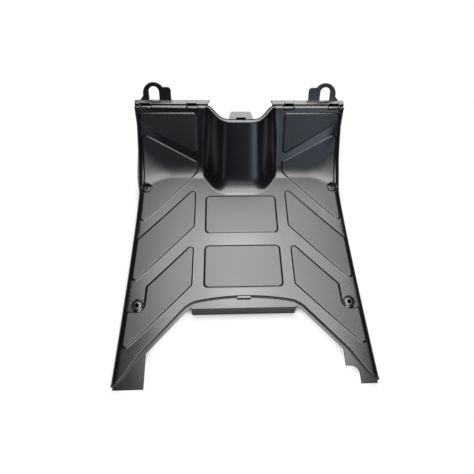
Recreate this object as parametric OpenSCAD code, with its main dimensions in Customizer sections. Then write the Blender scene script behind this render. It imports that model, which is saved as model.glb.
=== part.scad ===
// Motor scooter floorboard: one injection-moulded shell with a flat foot floor, a front wall
// that bulges round the steering tube, rolled side skirts and a stepped rear arch.
// The datum line runs across the floor, in the channel between the two centre pads.

/* [Floor] */
// Width across the waist, side edge to side edge
waist_w = 380; // [360:1:400]
// Width across the rear tips
rear_w = 410; // [400:1:430]
// How far the waist lies in front of the datum line
waist_y = 70; // [40:1:90]
// How far the rear tips reach behind the datum line
tail_y = 246; // [236:1:260]
// Thickness of the moulded wall
wall_t = 2.6; // [2:0.1:3.2]
// Radius of the rolled side edge
roll_r = 8.5; // [7:0.5:10]
// Depth of the side skirt below the floor
skirt_h = 34; // [28:1:40]

/* [Front wall] */
// Distance from the datum line to the foot of the wall
foot_y = 137; // [130:1:144]
// Height of the wall above the floor
wall_h = 103; // [90:1:120]
// Slope of the wall from level
wall_slope = 57.7; // [52:0.1:62]
// Width across the top of the wall
top_w = 375; // [364:1:386]
// Share of the rise that the bend at the foot takes up
foot_bend = 0.25; // [0.2:0.01:0.35]
// The same share at the side edges, where the floor sweeps up gently
side_bend = 0.86; // [0.7:0.01:0.92]
// How far the bend starts earlier at the side edges
side_lead = 28; // [18:1:34]
// Where the corner scoop begins, from the centre line
corner_x = 130; // [110:1:145]
// Depth of the side skirt at the top of the wall
skirt_top = 15; // [12:1:20]

/* [Steering bulge] */
// How far the bulge stands back from the wall
bulge_d = 33; // [26:1:38]
// Width of the bulge at the floor
bulge_foot_w = 142; // [130:1:150]
// Width of the bulge at the top edge
bulge_top_w = 128; // [116:1:130]
// Fullness of the bulge: higher is squarer
bulge_shape = 2.2; // [1.8:0.1:2.8]

/* [Pads] */
// Height of the raised foot pads
pad_h = 1.5; // [0.8:0.1:2]
// Width of the channels between the pads
channel_w = 20; // [14:0.5:24]
// Corner radius of the pads
pad_r = 7; // [4:0.5:9]
// Half the width of the two centre pads
pad_half_w = 64; // [56:1:68]
// Front end of the front centre pad
front_pad_y = 84.5; // [76:0.5:88]
// Length of each centre pad
pad_l = 76; // [66:1:82]
// Fall of the slanting pad edges for each millimetre outward
chevron = 1.12; // [1:0.01:1.2]
// Where the lower edge of the bend pad meets its inner edge, from the datum line
chevron_y = 134; // [126:1:138]
// Upper edge of the bend pad at its inner end, from the foot of the wall
bend_pad_y = 13; // [10:0.5:15]
// Lower edge of the wall pad at its inner end, from the foot of the wall
wall_pad_y = 21; // [19:0.5:28]
// Gap between the wall pad and the top of the wall, along the floor
wall_pad_gap = 4.2; // [3:0.1:8]

/* [Screws] */
// Distance between the screws across the floor
screw_dx = 350; // [340:1:352]
// Distance between the screws along the floor
screw_dy = 226; // [216:1:236]
// How far the front screws lie in front of the datum line
screw_y = 104; // [96:1:106]
// Screw hole diameter
screw_d = 6.2; // [5:0.1:7]
// Counterbore diameter
recess_d = 20; // [16:0.5:21]
// Counterbore depth
recess_h = 3.4; // [2.6:0.1:5]
// Outer diameter of the ring that the screw washer sits on
ring_d = 14.6; // [12:0.2:15]
// Depth of the screw boss below the floor
boss_h = 14; // [10:1:20]

/* [Rear arch] */
// Distance from the datum line back to the crown of the arch
arch_y = 109; // [104:1:114]
// Radius of the arch's corners
arch_r = 20; // [12:1:28]
// Where the sides of the arch turn steeper: distance in from the rear tips
knee_in = 40; // [33:1:50]
// The same corner's distance behind the datum line
knee_y = 200; // [190:1:208]
// Drop of the lower ledge below the floor
ledge_drop = 10; // [8:0.5:16]
// Width of the ledge along the slanting sides of the arch
ledge_w = 3.5; // [3:0.5:9]
// Half the width of the straight ledge at the crown
crown_half_w = 87; // [70:1:90]
// Length of the crown ledge behind the arch
crown_l = 15.5; // [14:0.5:22]
// Width of the ledge on each leg, in from the rear tips
leg_w = 45; // [39:1:51]
// Radius of the downward curve of the leg ledges
leg_curve_r = 95; // [75:5:140]
// Width of the notch at the rear inner corner of the right leg's ledge
notch_w = 18; // [14:0.5:20]
// Length of that notch
notch_l = 24; // [18:1:30]
// Radius of the notch's inner corner
notch_r = 12; // [8:0.5:14]
// Width of the tab behind the middle of the arch
tab_w = 23; // [16:1:30]
// Length of that tab
tab_l = 3.5; // [2:0.5:6]
// Drop of that tab below the floor
tab_drop = 1.5; // [0:0.1:4]

/* [Front edge] */
// Width of the groove behind the top edge of the wall
groove_w = 5; // [3.5:0.5:7]
// Depth of the groove
groove_h = 6; // [4:0.5:8]
// Width of the strip in front of the groove
strip_w = 9.5; // [7:0.5:12]
// Width of a clip slot
clip_w = 17; // [12:1:22]
// Length of a clip slot, across the groove
clip_l = 8.5; // [6:0.5:11]
// Depth of the blind sockets below the clip slots
socket_h = 10; // [8:0.5:14]
// Distance of the inner clip slots from the centre line
clip_in_x = 87; // [80:1:96]
// Distance of the outer clip slots in from the ends of the top edge
clip_end = 18.5; // [15.5:0.5:24]
// Length of the tongue in front of the bulge
tongue_l = 20; // [12:1:24]

/* [Hooks] */
// Distance of each hook's slot in from the ends of the top edge
hook_end = 35.5; // [32:0.5:41]
// Outer radius of a hook
hook_r = 19; // [17:0.5:21]
// Width of a hook's slot
hook_slot_w = 18; // [14:0.5:20]
// Length of the hooks, which run on from the front strip along the slope of the wall
hook_h = 30; // [27:0.5:34]
// Width of the hook's band over the top of its slot
hook_band = 6.5; // [5:0.5:8]
// Width of the stub beside each hook
stub_w = 20.5; // [16:0.5:24]
// Length of the stub
stub_h = 22; // [18:0.5:26]
// Thickness of the hook plate
hook_t = 4; // [3:0.5:5]
// Width of the gusset outside each hook
gusset_w = 5.5; // [3:0.5:8]
// Length of that gusset
gusset_h = 9; // [5:0.5:12]

/* [Ribs] */
// Thickness of the ribs below the floor
rib_t = 2; // [1.6:0.1:2.6]
// Depth of the ribs below the floor
rib_h = 12; // [8:1:16]

/* [Hidden] */
black = "#26282a";

round_n = 32;
step = 0.5;
eps = 0.01;

side_x = waist_w / 2 - roll_r;
wall_run = wall_h / tan(wall_slope);
wall_top_y = foot_y + wall_run;
lip_l = 4.5;
groove_y = wall_top_y + lip_l;
strip_y = groove_y + groove_w;
front_y = strip_y + strip_w;
hook_y = front_y - 1;
reach_y = hook_y + hook_h * cos(wall_slope) + hook_t * sin(wall_slope);
origin_y = (tail_y - reach_y) / 2;
knee_x = rear_w / 2 - knee_in;
leg_x = rear_w / 2 - leg_w;
clip_out_x = top_w / 2 - clip_end;
hook_x = top_w / 2 - hook_end;

// Half the width of the board: widest at the rear tips, narrowest at the waist
function half_w(y) = y < waist_y
    ? waist_w / 2 + (rear_w - waist_w) / 2 * pow((waist_y - y) / (waist_y + tail_y), 1.3)
    : waist_w / 2 + (top_w - waist_w) / 2 * pow((y - waist_y) / (wall_top_y - waist_y), 1.5);

// Everything across the board spreads with its width
function spread(y) = (half_w(y) - roll_r) / side_x;
function place(p) = [p[0] * spread(p[1]), p[1]];

// Share of the bulge's depth at s, from 0 at its crown to 1 at its side
function bulge_share(s) = s >= 1 ? 0 : pow(cos(90 * pow(s, bulge_shape)), 2);
function bulge(x, w) = bulge_d * bulge_share(abs(x) / (w / 2));

// Share of the corner scoop, from 0 inside corner_x to 1 at the side edge
function corner(x) = pow(min(1, max(0, (abs(x) - corner_x) / (side_x - corner_x))), 1.8);

// The wall's own line at x: how its bend is shared, where it starts and where it ends
function bend(x) = foot_bend + (side_bend - foot_bend) * corner(x);
function top_y(x) = wall_top_y - bulge(x, bulge_top_w);
function start_y(x) = foot_y - wall_run * foot_bend / (2 - foot_bend) - bulge(x, bulge_foot_w)
    - side_lead * corner(x);

// Rise of the wall at share t of its run: a parabola up to share k, then straight
function rise(t, k) = t <= 0 ? 0 : t < k ? t * t / (k * (2 - k)) : (2 * t - k) / (2 - k);

// The top surface, and its upward normal
function surf(x, y) = [
    x * spread(y),
    y,
    wall_h * rise((y - start_y(x)) / (top_y(x) - start_y(x)), bend(x))
];
function unit(v) = v / norm(v);
function normal(x, y) = unit(cross(
    surf(x + step, y) - surf(x - step, y),
    surf(x, y + step) - surf(x, y - step)
));
function lifted(x, y, h) = surf(x, y) + h * normal(x, y);

// The pads on the wall are part of the skin: between pad_in and pad_out the rows of points
// follow their edges, and the points inside them are lifted by pad_h
pad_in_x = pad_half_w + channel_w;
pad_in = pad_in_x - 3;
pad_out = side_x - 1;
edge = 0.35;
end_r = 4.5;
function round_off(d) = d >= end_r ? 0 : end_r - sqrt(end_r * end_r - (end_r - d) * (end_r - d));
function slant(x, y) = y - chevron * (x - pad_in_x);

// Edges of the two pads at the station x: the bend pad from the floor up, the wall pad above it
bend_pad_rise = 0.30;
wall_pad_rise = 0.34;
function ends(x) = min(x - pad_in, pad_out - x);
function bend_low(x) = slant(x, chevron_y) + round_off(x - pad_in);
function bend_high(x) = foot_y + bend_pad_y + bend_pad_rise * (x - pad_in_x) - round_off(ends(x));
function wall_low(x) = foot_y + wall_pad_y + wall_pad_rise * (x - pad_in_x) + round_off(ends(x));
function wall_high(x) = wall_top_y - wall_pad_gap - round_off(ends(x));

// Stations across the board: close together on the bulge, in the scoops and at the pad ends
bulge_n = 15;
flat_n = 3;
corner_n = 6;
half_xs = concat(
    [for (i = [0 : bulge_n]) bulge_foot_w / 2 * i / bulge_n],
    [for (d = [-edge, edge, end_r * 0.4]) pad_in + d],
    [for (i = [0 : flat_n - 1]) pad_in + end_r + (corner_x - pad_in - end_r) * i / flat_n],
    [for (i = [0 : corner_n]) corner_x + (pad_out - end_r - corner_x) * i / corner_n],
    [for (d = [-end_r * 0.4, -edge, edge]) pad_out + d],
    [side_x]
);
xs = concat([for (i = [len(half_xs) - 1 : -1 : 1]) -half_xs[i]], half_xs);

// Shares of the wall's run at which the rows of points lie, from the floor to the top edge
function spaced(a, b, n) = [for (i = [1 : n]) a + (b - a) * i / n];
function wall_rows(x) =
    let (
        s = start_y(x),
        run = top_y(x) - s,
        e = edge / run,
        low = (bend_low(x) - s) / run,
        high = (bend_high(x) - s) / run,
        low2 = (wall_low(x) - s) / run,
        high2 = (wall_high(x) - s) / run,
        a = min(0, low - 3 * e),
        c = max(0, low + 3 * e),
        d = min(bend(x), high - 3 * e)
    )
    concat(
        [a - 0.2], spaced(a - 0.2, a, 1), spaced(a, low - e, 3), [low + e],
        spaced(low + e, c, 2), spaced(c, d, 7), spaced(d, high - e, 2), [high + e],
        [low2 - e, low2 + e], spaced(low2 + e, high2 - e, 3), [high2 + e, 1]
    );
floor_n = 5;
bend_rows = [floor_n + 5, floor_n + 16];
wall_rows = [floor_n + 19, floor_n + 22];
shares = [for (x = xs) wall_rows(min(pad_out - edge, max(pad_in + edge, abs(x))))];
row_n = floor_n + len(shares[0]) - 1;
function row_y(i, j) =
    let (
        x = xs[i],
        s = start_y(x),
        run = top_y(x) - s,
        first = s + run * shares[i][0]
    )
    j <= floor_n ? -tail_y + (first + tail_y) * j / floor_n : s + run * shares[i][j - floor_n];
function lift(x, j) =
    abs(x) < pad_in || abs(x) > pad_out ? 0
    : (j >= bend_rows[0] && j <= bend_rows[1]) || (j >= wall_rows[0] && j <= wall_rows[1]) ? pad_h
    : 0;

// A point of the rolled side edge or its skirt: side is -1 or 1, off is the depth below the skin
roll_n = 5;
function skirt_d(z) = skirt_h + (skirt_top - skirt_h) * min(1, z / wall_h) - roll_r;
function edge_point(side, y, i, off) =
    let (
        p = surf(side * side_x, y),
        n = normal(side * (side_x - step), y),
        t = unit(surf(side_x, y) - surf(side_x - step, y)),
        out = [t[0] * side, t[1], t[2]],
        centre = p - roll_r * n,
        a = 90 * i / roll_n
    )
    i > roll_n
        ? centre + (roll_r - off) * out - skirt_d(p[2]) * n
        : centre + (roll_r - off) * (sin(a) * out + cos(a) * n);

// One row of the skin, from the left skirt over the top to the right skirt
last_x = len(xs) - 1;
function skin_row(j, off) = concat(
    [for (i = [roll_n + 1 : -1 : 1]) edge_point(-1, row_y(0, j), i, off)],
    [for (i = [0 : last_x]) lifted(xs[i], row_y(i, j), off > 0 ? -off : lift(xs[i], j))],
    [for (i = [1 : roll_n + 1]) edge_point(1, row_y(last_x, j), i, off)]
);

// A sheet between two grids of points, rows of equal length, closed round its rim
module sheet(upper, lower) {
    rows = len(upper);
    cols = len(upper[0]);
    half = rows * cols;
    function at(j, i) = j * cols + i;
    top_faces = [for (j = [0 : rows - 2], i = [0 : cols - 2], k = [0, 1])
        k == 0 ? [at(j, i), at(j + 1, i), at(j + 1, i + 1)]
               : [at(j, i), at(j + 1, i + 1), at(j, i + 1)]];
    low_faces = [for (f = top_faces) [f[0] + half, f[2] + half, f[1] + half]];
    rim = concat(
        [for (i = [0 : cols - 2]) at(0, i)],
        [for (j = [0 : rows - 2]) at(j, cols - 1)],
        [for (i = [cols - 1 : -1 : 1]) at(rows - 1, i)],
        [for (j = [rows - 1 : -1 : 1]) at(j, 0)]
    );
    n = len(rim);
    rim_faces = [for (i = [0 : n - 1], k = [0, 1])
        let (a = rim[i], b = rim[(i + 1) % n])
        k == 0 ? [a, b, b + half] : [a, b + half, a + half]];
    polyhedron(
        points = concat([for (r = upper, p = r) p], [for (r = lower, p = r) p]),
        faces = concat(top_faces, low_faces, rim_faces),
        convexity = 8
    );
}

// The shell itself: floor, wall, bulge, wall pads, rolled sides and skirts
module skin() {
    sheet(
        [for (j = [0 : row_n]) skin_row(j, 0)],
        [for (j = [0 : row_n]) skin_row(j, wall_t)]
    );
}

// Outline of the floor within the rolled edges
module inner_floor(gap) {
    ys = [for (i = [0 : 12]) -tail_y + (front_pad_y + 20 + tail_y) * i / 12];
    polygon(concat(
        [for (y = ys) place([side_x - gap, y])],
        [for (i = [12 : -1 : 0]) place([gap - side_x, ys[i]])]
    ));
}

// Rounds every corner of a flat shape
module rounded(r) {
    offset(r = r, $fn = round_n) offset(delta = -r) children();
}

// The two centre pads
module centre_pads() {
    for (front = [front_pad_y, front_pad_y - pad_l - channel_w * 1.3])
        rounded(pad_r)
            polygon([for (p = [[-1, 0], [1, 0], [1, -pad_l], [-1, -pad_l]])
                place([p[0] * pad_half_w, front + p[1]])]);
}

// A slanting side pad: y0 and y1 are its upper and lower edges at the inner end
module side_pad(y0, y1) {
    far = waist_w / 2 + 20;
    polygon([for (p = [[pad_in_x, y1], [pad_in_x, y0], [far, slant(far, y0)], [far, slant(far, y1)]])
        place(p)]);
}

side_pad_r = pad_r * 0.7;
middle_y = chevron_y - channel_w * 1.5;
middle_l = 82;
rear_pad_y = middle_y - middle_l - channel_w * 1.65;
rear_pad_l = 78;
module side_pads() {
    rounded(side_pad_r) intersection() {
        inner_floor(0.5);
        side_pad(middle_y, middle_y - middle_l);
    }
    rounded(side_pad_r) difference() {
        intersection() {
            inner_floor(0.5);
            side_pad(rear_pad_y, rear_pad_y - rear_pad_l);
        }
        screw_clearing();
    }
}

// Room round the rear screw, open to the side edge
rear_screw_y = screw_y - screw_dy;
clear_r = recess_d / 2 + 3;
clear_l = 60;
module screw_clearing() {
    translate([screw_dx / 2, rear_screw_y]) {
        circle(r = clear_r, $fn = round_n);
        polygon([[-clear_r, 0], [-clear_r, clear_l], [clear_l, clear_l], [clear_l, -6], [0, 1 - clear_r]]);
    }
}

// The floor pads stand on the floor and are keyed into it
module floor_pads() {
    translate([0, 0, -wall_t / 2])
        linear_extrude(wall_t / 2 + pad_h) {
            centre_pads();
            side_pads();
            mirror([1, 0]) side_pads();
        }
}

// The arch: everything behind it is cut from the floor. Its crown is a flat curve; tip holds how far
// in and how far forward of each rear tip the corners of the leg's end lie
crown_n = 7;
crown_sag = 8;
crown_x = crown_half_w - 6;
function crown_y(x) = -arch_y - crown_sag * pow(x / crown_x, 2);
tip = [[17, 12], [10, 5], [2, 0], [2, -60]];
module arch_void() {
    half = concat(
        [for (i = [0 : crown_n]) let (x = (crown_x + 3) * i / crown_n) [x, crown_y(x)]],
        [[crown_x + 16, crown_y(crown_x + 9) - 7], [knee_x, -knee_y]],
        [for (t = tip) [rear_w / 2 - t[0], t[1] - tail_y]]
    );
    rounded(arch_r)
        polygon(concat(half, [for (i = [len(half) - 1 : -1 : 1]) [-half[i][0], half[i][1]]]));
}

// Inside the skirts, so that the ledges end there
module within_skirts() {
    ys = [for (i = [0 : 12]) -tail_y + (tail_y - arch_y + 40) * i / 12];
    polygon(concat(
        [for (y = ys) [half_w(y) - wall_t / 2, y]],
        [for (i = [12 : -1 : 0]) [wall_t / 2 - half_w(ys[i]), ys[i]]]
    ));
}

// Step down from the floor to the ledge, all along the arch, and deeper beside the legs
leg_fall = pow(rear_w / 2 - leg_x, 2) / (2 * leg_curve_r);
module step_line() {
    intersection() {
        difference() {
            offset(delta = wall_t) arch_void();
            arch_void();
        }
        within_skirts();
    }
}
module arch_step() {
    translate([0, 0, -ledge_drop - wall_t])
        linear_extrude(ledge_drop + wall_t / 2)
            step_line();
    translate([0, 0, -ledge_drop - wall_t - leg_fall])
        linear_extrude(leg_fall + wall_t)
            intersection() {
                step_line();
                translate([-rear_w / 2, -tail_y]) square([rear_w, leg_l]);
            }
}

// Ledge round the arch: a straight shelf at the crown and a narrow band down each side
module arch_ledge() {
    translate([0, 0, -ledge_drop - wall_t])
        linear_extrude(wall_t)
            intersection() {
                offset(delta = wall_t / 2) arch_void();
                within_skirts();
                union() {
                    difference() {
                        translate([-leg_x, -tail_y + 40]) square([2 * leg_x, tail_y]);
                        offset(delta = -ledge_w) arch_void();
                    }
                    translate([-crown_half_w, -arch_y - crown_l])
                        square([2 * crown_half_w, crown_l]);
                }
            }
}

// Flange hanging from the rear edge of the crown ledge, down to the level of the skirts
module crown_flange() {
    low = skirt_h - ledge_drop;
    translate([-crown_half_w, -arch_y - crown_l, -ledge_drop])
        rotate([90, 0, 90])
            linear_extrude(2 * crown_half_w)
                polygon([[0, 0], [wall_t, 0], [wall_t - 3, -low], [-3, -low]]);
}

// Small tab behind the middle of the arch, a little below the floor
module crown_tab() {
    translate([-tab_w / 2, -arch_y - tab_l, -tab_drop - wall_t])
        cube([tab_w, tab_l + wall_t / 2, wall_t]);
}

// Ledge on each leg: a strip that curves down towards the outside
leg_l = 52;
module leg_ledge() {
    intersection() {
        translate([leg_x, -tail_y, -ledge_drop - leg_curve_r])
            rotate([-90, 0, 0])
                difference() {
                    cylinder(r = leg_curve_r, h = leg_l, $fn = 96);
                    translate([0, 0, -1])
                        cylinder(r = leg_curve_r - wall_t, h = leg_l + 2, $fn = 96);
                }
        translate([0, 0, -skirt_h])
            linear_extrude(skirt_h)
                intersection() {
                    offset(delta = wall_t / 2) arch_void();
                    within_skirts();
                    translate([leg_x, -tail_y]) square([rear_w / 2 - leg_x, leg_l]);
                }
    }
}

// The right leg's ledge is notched at its rear inner corner
module notched_leg_ledge() {
    difference() {
        leg_ledge();
        translate([0, 0, -skirt_h])
            linear_extrude(skirt_h)
                rounded(notch_r)
                    translate([leg_x - notch_l, -tail_y - notch_l])
                        square([notch_l + notch_w, 2 * notch_l]);
    }
}

// Top edge of the wall, rolled forward all the way across, over the bulge too
lip_r = 3.4;
lip_w = lip_l - lip_r + 1;
lip_n = 3;
function lip_section(x) =
    let (
        q = surf(x, top_y(x)),
        n3 = normal(x, top_y(x) - 2 * step),
        m = -unit([n3[0], n3[1]]),
        a = acos(n3[2]),
        n = [-sin(a), cos(a)],
        d = [cos(a), sin(a)],
        c = -lip_r * n,
        flat = concat(
            [-3 * d - 0.7 * n],
            [for (i = [0 : lip_n]) c + lip_r * [cos(90 + a * (1 - i / lip_n)),
                                                sin(90 + a * (1 - i / lip_n))]],
            [c + [lip_w, lip_r], c + [lip_w, lip_r - wall_t],
             c + [0.2, lip_r - wall_t], -3 * d - (wall_t - 0.6) * n]
        )
    )
    [for (p = flat) [q[0] + m[0] * p[0], q[1] + m[1] * p[0], q[2] + p[1]]];

module front_lip() {
    sections = [for (x = xs) lip_section(x)];
    k = len(sections[0]);
    last = (len(sections) - 1) * k;
    polyhedron(
        points = [for (s = sections, p = s) p],
        faces = concat(
            [for (i = [0 : len(sections) - 2], j = [0 : k - 1], h = [0, 1])
                let (a = i * k + j, b = i * k + (j + 1) % k)
                h == 0 ? [a, b, b + k] : [a, b + k, a + k]],
            [[for (j = [k - 1 : -1 : 0]) j]],
            [[for (j = [0 : k - 1]) last + j]]
        ),
        convexity = 8
    );
}

// Groove and strip in front of the wall's top edge, one length each side of the bulge
shelf_z = wall_h + lip_r * (1 - cos(wall_slope));
module front_strip() {
    inner = bulge_top_w / 2 - 2;
    outer = top_w / 2 - 1;
    low = shelf_z - groove_h;
    intersection() {
        rotate([90, 0, 90])
            linear_extrude(outer)
                polygon([
                    [groove_y - wall_t, shelf_z - eps],
                    [groove_y, shelf_z - eps],
                    [groove_y, low + wall_t],
                    [strip_y, low + wall_t],
                    [strip_y, shelf_z],
                    [front_y, shelf_z],
                    [front_y, shelf_z - wall_t],
                    [strip_y + wall_t, shelf_z - wall_t],
                    [strip_y + wall_t, low],
                    [groove_y - wall_t, low]
                ]);
        translate([0, 0, low - 1])
            linear_extrude(groove_h + 3)
                polygon([
                    [inner + 6, groove_y - 2 * wall_t],
                    [inner - 2, groove_y + 1],
                    [inner - 2, groove_y + 1.5],
                    [inner - 8, front_y],
                    [outer, front_y],
                    [outer, groove_y - 2 * wall_t]
                ]);
    }
}

// Tongue that reaches forward from the middle of the bulge, narrower towards its end
tongue_w = 46;
tongue_end_w = 34;
lip_y = wall_top_y - bulge_d + lip_r;
tongue_y = lip_y + lip_w;
module tongue() {
    translate([0, 0, shelf_z - wall_t - 0.6])
        linear_extrude(wall_t)
            polygon([
                [-tongue_w / 2, lip_y],
                [tongue_w / 2, lip_y],
                [tongue_end_w / 2, tongue_y + tongue_l],
                [-tongue_end_w / 2, tongue_y + tongue_l]
            ]);
}

// Hook plate that runs on from the front strip along the slope of the wall: a looped hook with a
// stub on its inner side and a gusset on its outer side
stub_r = 6;
module hook_outline() {
    r_in = hook_slot_w / 2;
    slot_top = hook_h - hook_band - r_in;
    difference() {
        union() {
            translate([0, hook_h - hook_r]) circle(r = hook_r, $fn = 64);
            translate([-hook_r, -wall_t]) square([2 * hook_r, wall_t + hook_h - hook_r]);
            translate([-r_in - stub_w, -wall_t]) square([stub_w, wall_t + stub_h - stub_r]);
            translate([stub_r - r_in - stub_w, 0]) square([stub_w - stub_r, stub_h]);
            translate([stub_r - r_in - stub_w, stub_h - stub_r]) circle(r = stub_r, $fn = round_n);
            polygon([[hook_r - 1, -wall_t], [hook_r + gusset_w, -wall_t], [hook_r + gusset_w, 1],
                     [hook_r - 1, gusset_h]]);
        }
        translate([0, slot_top]) circle(r = r_in, $fn = 48);
        translate([-r_in, 0]) square([hook_slot_w, slot_top]);
    }
}
module hook() {
    translate([hook_x, hook_y, shelf_z])
        rotate([wall_slope, 0, 0])
            translate([0, 0, -hook_t])
                linear_extrude(hook_t) hook_outline();
}

// Screw bosses below the floor
module bosses() {
    for (sx = [-1, 1], y = [screw_y, rear_screw_y])
        translate([sx * screw_dx / 2, y, -boss_h])
            cylinder(d = recess_d + 2 * wall_t, h = boss_h - wall_t / 2, $fn = 48);
}

// Cuts for the screws: counterbore round a seat ring, and the hole
module screw_cuts() {
    for (sx = [-1, 1], y = [screw_y, rear_screw_y])
        translate([sx * screw_dx / 2, y, 0]) {
            difference() {
                translate([0, 0, -recess_h])
                    cylinder(d = recess_d, h = recess_h + 12, $fn = 48);
                translate([0, 0, -recess_h - 1])
                    cylinder(d = ring_d, h = recess_h, $fn = 48);
            }
            translate([0, 0, -boss_h - 1])
                cylinder(d = screw_d, h = boss_h + 12, $fn = 48);
            translate([0, 0, -boss_h - 1])
                cylinder(d = ring_d - 2, h = boss_h - recess_h - wall_t, $fn = 48);
        }
}

// Stiffening ribs below the floor, in line with the channels between the pads
module ribs() {
    rib_y = [front_pad_y - pad_l - channel_w * 0.65, screw_y];
    rib_back = crown_y(pad_half_w + channel_w / 2) + wall_t / 2;
    for (y = rib_y) {
        half = half_w(y) - wall_t / 2;
        translate([-half, y - rib_t / 2, -rib_h])
            cube([2 * half, rib_t, rib_h - roll_r + wall_t / 2]);
        translate([roll_r - half, y - rib_t / 2, -rib_h])
            cube([2 * (half - roll_r), rib_t, rib_h - wall_t / 2]);
    }
    for (sx = [-1, 1])
        translate([sx * (pad_half_w + channel_w / 2) - rib_t / 2, rib_back, -rib_h])
            cube([rib_t, screw_y - rib_back, rib_h - wall_t / 2]);
}

// Clip slots in the front edge and the tongue, each over a blind socket: [x, y, width, length]
socket_t = 1.5;
slots = concat(
    [for (x = [-clip_out_x, -clip_in_x, clip_in_x, clip_out_x]) [x, groove_y - 1.5, clip_w, clip_l]],
    [[0, tongue_y + 2.5, clip_w, groove_w - 1]]
);
module sockets() {
    for (s = slots)
        translate([s[0] - s[2] / 2 - socket_t, s[1] - socket_t, shelf_z - socket_h])
            cube([s[2] + 2 * socket_t, s[3] + 2 * socket_t, socket_h - wall_t + 0.4]);
}
module socket_cuts() {
    for (s = slots)
        translate([s[0] - s[2] / 2, s[1], shelf_z - socket_h + socket_t])
            cube([s[2], s[3], socket_h + 2]);
}

// Everything that is added to the skin
module fittings() {
    arch_step();
    arch_ledge();
    crown_flange();
    crown_tab();
    tongue();
    sockets();
    bosses();
    ribs();
    notched_leg_ledge();
    mirror([1, 0, 0]) leg_ledge();
    for (m = [0, 1])
        mirror([m, 0, 0]) {
            front_strip();
            hook();
        }
}

module floorboard() {
    color(black)
        translate([0, origin_y, skirt_h])
            difference() {
                union() {
                    difference() {
                        skin();
                        translate([0, 0, -skirt_h - 1])
                            linear_extrude(skirt_h + 30) arch_void();
                    }
                    floor_pads();
                    fittings();
                    front_lip();
                }
                screw_cuts();
                socket_cuts();
            }
}

floorboard();
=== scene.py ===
"""Scooter floorboard: a finely modelled shell and its fittings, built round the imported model."""

import math

import bpy
from mathutils import Matrix, Vector, geometry, kdtree


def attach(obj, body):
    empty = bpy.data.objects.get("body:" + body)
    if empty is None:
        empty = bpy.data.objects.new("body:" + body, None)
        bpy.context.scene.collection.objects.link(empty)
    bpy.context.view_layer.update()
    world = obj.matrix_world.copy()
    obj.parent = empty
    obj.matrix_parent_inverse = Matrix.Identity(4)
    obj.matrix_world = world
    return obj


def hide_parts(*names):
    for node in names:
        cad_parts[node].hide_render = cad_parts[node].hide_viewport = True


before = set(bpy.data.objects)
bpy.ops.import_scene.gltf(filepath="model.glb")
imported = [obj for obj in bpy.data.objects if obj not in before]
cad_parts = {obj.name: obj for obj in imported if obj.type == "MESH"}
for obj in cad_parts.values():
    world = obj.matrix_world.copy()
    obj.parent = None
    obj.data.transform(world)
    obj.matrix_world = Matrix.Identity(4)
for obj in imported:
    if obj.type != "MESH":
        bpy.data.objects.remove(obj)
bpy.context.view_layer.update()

MM = 0.001
BODY = "root"
NODE = "floorboard"

# Driving sizes in millimetres, about the datum line across the floor and the floor's top face

# Floor; the curves are the powers by which it widens behind the waist and narrows before it
WAIST_W, REAR_W, TOP_W = 380, 410, 375
WAIST_Y, TAIL_Y = 70, 246
REAR_CURVE, FRONT_CURVE = 1.3, 1.5
WALL_T, ROLL_R = 2.6, 8.5
SKIRT_H, SKIRT_TOP = 34, 15

# Front wall and its corner scoops; each bend is the share of the wall's run that is curved
FOOT_Y, WALL_H, WALL_SLOPE = 137, 103, math.radians(57.7)
FOOT_BEND, BULGE_BEND, SIDE_BEND = 0.32, 0.1, 0.86
SIDE_LEAD, CORNER_X, CORNER_CURVE = 28, 130, 1.8

# Steering bulge
BULGE_D, BULGE_FOOT_W, BULGE_TOP_W, BULGE_SHAPE = 33, 142, 128, 2.5

# Rolled lip along the top of the wall: it falls a little, and its edge is turned down
LIP_R, LIP_L, LIP_FALL, LIP_EDGE = 3.4, 4.5, 0.9, 0.4

# Raised pads, the channels between them and the gaps to the rolled side edges
PAD_H, CHANNEL_W = 1.5, 20
PAD_R, SIDE_PAD_R, END_PAD_R, SCREW_PAD_R = 7, 5.0, 5.5, 3
PAD_HALF_W, FRONT_PAD_Y, PAD_L, CENTRE_GAP = 64, 84.5, 76, CHANNEL_W * 1.3
CHEVRON, CHEVRON_Y = 1.12, 134
MIDDLE_L, MIDDLE_GAP = 82, CHANNEL_W * 1.5
REAR_PAD_L, REAR_GAP = 78, CHANNEL_W * 1.65
BEND_PAD_Y, BEND_PAD_RISE = 13, 0.30
WALL_PAD_Y, WALL_PAD_RISE, WALL_PAD_GAP, WALL_PAD_IN = 21, 0.34, 4.2, 3
FLOOR_SIDE_GAP, WALL_SIDE_GAP = 0.5, 1

# Screw places: counterbore, seat ring, hole and boss, and the room round them in the rear pads
SCREW_DX, SCREW_DY, SCREW_Y = 350, 226, 104
SCREW_D, RECESS_D, RECESS_H = 6.2, 20, 3.4
RING_D, RING_T, RING_DROP, BOSS_H = 14.6, 1, 1, 14
CLEAR_R = RECESS_D / 2 + 3

# Rear arch; TIPS are points of the leg's end, in from the rear tip and in front of it
ARCH_Y, ARCH_R, KNEE_X, KNEE_Y, CROWN_SAG = 109, 20, REAR_W / 2 - 40, 200, 8
TIPS, TIP_R = ((2, -60), (2, 0), (10, 5), (17, 12)), 3
LEDGE_DROP, LEDGE_W, LEDGE_LAP = 6.5, 5, 12
CROWN_HALF_W, CROWN_L, FLANGE_LEAN = 87, 18.8, 3
CROWN_X, CROWN_STEPS = CROWN_HALF_W - 6, 7
TAB_W, TAB_L, TAB_DROP = 23, 3.5, 1.5

# Leg ledges, which reach a little behind the legs
LEG_X, LEG_L, LEG_OVER, LEG_SIDE = REAR_W / 2 - 49, 52, 5, 3
NOTCH_W, NOTCH_L, NOTCH_R = 20.5, 27, 12

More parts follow.
